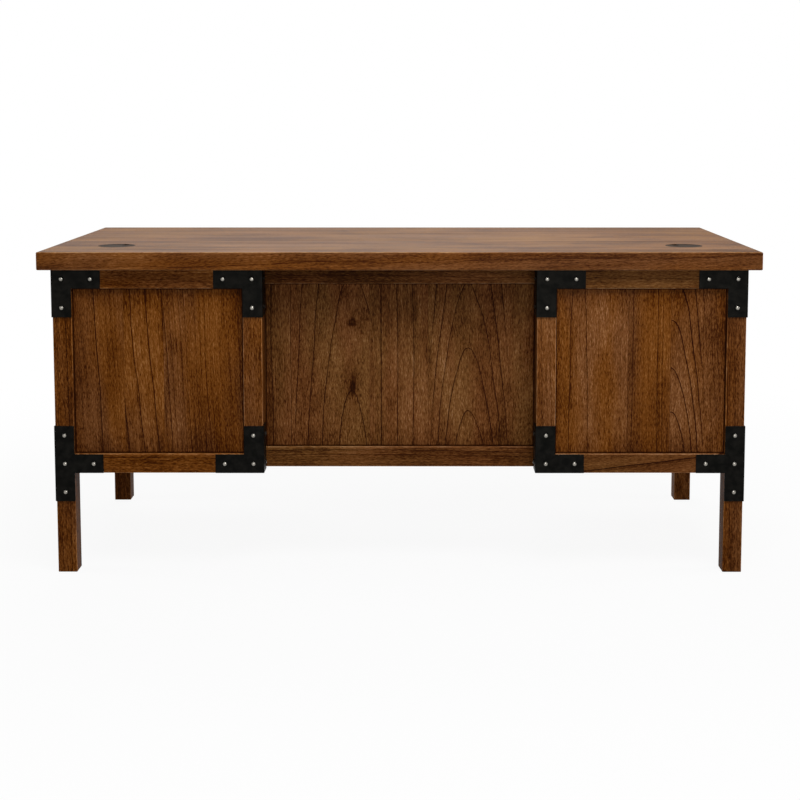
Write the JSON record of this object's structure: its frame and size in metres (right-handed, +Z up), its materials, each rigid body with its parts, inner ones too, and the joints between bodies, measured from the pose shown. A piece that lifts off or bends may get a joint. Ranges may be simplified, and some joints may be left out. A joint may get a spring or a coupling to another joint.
{
  "type": "executive desk",
  "caption": "Wooden executive desk: thick overhanging top on drawer pedestals, set-back modesty panel, black iron corner brackets with domed nails, cable grommets and sliding drawers.",
  "frame": {"origin": "on the floor under the middle of the top", "axes": "+X to a visitor's right, +Y from the visitor's side to the user's drawer side, +Z up"},
  "size_m": [1.6764, 0.7112, 0.762],
  "materials": {
    "case_wood": "satin walnut-brown stain",
    "top_wood": "satin walnut-brown stain",
    "drawer_wood": "clear sealed pale wood",
    "black_iron": "matte black",
    "pewter_nails": "aged pewter",
    "zinc_steel": "zinc plated",
    "grommet_plastic": "fine matte dark grey"
  },
  "bodies": {
    "desk_frame": {"desk_top": "top_wood", "grommet_liners": "grommet_plastic", "left_visitor_rails": "case_wood", "left_outer_rails": "case_wood", "user_face_rails": "case_wood", "left_visitor_leg": "case_wood", "left_inner_posts": "case_wood", "left_user_leg": "case_wood", "left_visitor_panel": "case_wood", "left_outer_panel": "case_wood", "left_inner_side": "case_wood", "pedestal_floor_boards": "drawer_wood", "slide_cabinet_members": "zinc_steel", "slide_cleats": "drawer_wood", "right_visitor_rails": "case_wood", "right_outer_rails": "case_wood", "right_visitor_leg": "case_wood", "right_inner_posts": "case_wood", "right_user_leg": "case_wood", "right_visitor_panel": "case_wood", "right_outer_panel": "case_wood", "right_inner_side": "case_wood", "centre_drawer_hangers": "drawer_wood", "modesty_panel": "case_wood", "modesty_bottom_rail": "case_wood", "modesty_top_rail": "case_wood", "modesty_angles": "zinc_steel", "top_cleats": "drawer_wood", "top_corner_brackets": "black_iron", "leg_brackets": "black_iron", "lower_corner_brackets": "black_iron", "bracket_nails": "pewter_nails", "construction_screws": "zinc_steel"},
    "left_utility_drawer": {"left_utility_drawer_front": "case_wood", "left_utility_drawer_box": "drawer_wood", "left_utility_drawer_pull": "black_iron", "left_utility_slide_inner": "zinc_steel"},
    "left_utility_slide_middle_members": {"left_utility_slide_middle": "zinc_steel"},
    "left_file_drawer": {"left_file_drawer_front": "case_wood", "left_file_drawer_box": "drawer_wood", "left_file_drawer_pull": "black_iron", "left_file_slide_inner": "zinc_steel"},
    "left_file_slide_middle_members": {"left_file_slide_middle": "zinc_steel"},
    "right_utility_drawer": {"right_utility_drawer_front": "case_wood", "right_utility_drawer_box": "drawer_wood", "right_utility_drawer_pull": "black_iron", "right_utility_slide_inner": "zinc_steel"},
    "right_utility_slide_middle_members": {"right_utility_slide_middle": "zinc_steel"},
    "right_file_drawer": {"right_file_drawer_front": "case_wood", "right_file_drawer_box": "drawer_wood", "right_file_drawer_pull": "black_iron", "right_file_slide_inner": "zinc_steel"},
    "right_file_slide_middle_members": {"right_file_slide_middle": "zinc_steel"},
    "centre_drawer": {"centre_drawer_front": "case_wood", "centre_drawer_box": "drawer_wood", "centre_drawer_pull": "black_iron", "centre_slide_inner": "zinc_steel"},
    "centre_slide_middle_members": {"centre_slide_middle": "zinc_steel"},
    "left_cap": {"left_grommet_cap": "grommet_plastic"},
    "right_cap": {"right_grommet_cap": "grommet_plastic"}
  },
  "joints": [
    {"name": "left_utility_drawer_slide", "type": "slide", "parent": "desk_frame", "child": "left_utility_drawer", "axis": [0, 1, 0], "range_m": [0, 0.43]},
    {"name": "left_utility_middle_slide", "type": "slide", "parent": "desk_frame", "child": "left_utility_slide_middle_members", "axis": [0, 1, 0], "range_m": [0, 0.215]},
    {"name": "left_file_drawer_slide", "type": "slide", "parent": "desk_frame", "child": "left_file_drawer", "axis": [0, 1, 0], "range_m": [0, 0.43]},
    {"name": "left_file_middle_slide", "type": "slide", "parent": "desk_frame", "child": "left_file_slide_middle_members", "axis": [0, 1, 0], "range_m": [0, 0.215]},
    {"name": "right_utility_drawer_slide", "type": "slide", "parent": "desk_frame", "child": "right_utility_drawer", "axis": [0, 1, 0], "range_m": [0, 0.43]},
    {"name": "right_utility_middle_slide", "type": "slide", "parent": "desk_frame", "child": "right_utility_slide_middle_members", "axis": [0, 1, 0], "range_m": [0, 0.215]},
    {"name": "right_file_drawer_slide", "type": "slide", "parent": "desk_frame", "child": "right_file_drawer", "axis": [0, 1, 0], "range_m": [0, 0.43]},
    {"name": "right_file_middle_slide", "type": "slide", "parent": "desk_frame", "child": "right_file_slide_middle_members", "axis": [0, 1, 0], "range_m": [0, 0.215]},
    {"name": "centre_drawer_slide", "type": "slide", "parent": "desk_frame", "child": "centre_drawer", "axis": [0, 1, 0], "range_m": [0, 0.38]},
    {"name": "centre_middle_slide", "type": "slide", "parent": "desk_frame", "child": "centre_slide_middle_members", "axis": [0, 1, 0], "range_m": [0, 0.19]},
    {"name": "left_cap_lift", "type": "slide", "parent": "desk_frame", "child": "left_cap", "axis": [0, 0, 1], "range_m": [0, 0.06]},
    {"name": "right_cap_lift", "type": "slide", "parent": "desk_frame", "child": "right_cap", "axis": [0, 0, 1], "range_m": [0, 0.06]}
  ],
  "couplings": [
    {"joint": "left_utility_middle_slide", "follows": "left_utility_drawer_slide", "ratio": 0.5},
    {"joint": "left_file_middle_slide", "follows": "left_file_drawer_slide", "ratio": 0.5},
    {"joint": "right_utility_middle_slide", "follows": "right_utility_drawer_slide", "ratio": 0.5},
    {"joint": "right_file_middle_slide", "follows": "right_file_drawer_slide", "ratio": 0.5},
    {"joint": "centre_middle_slide", "follows": "centre_drawer_slide", "ratio": 0.5}
  ]
}
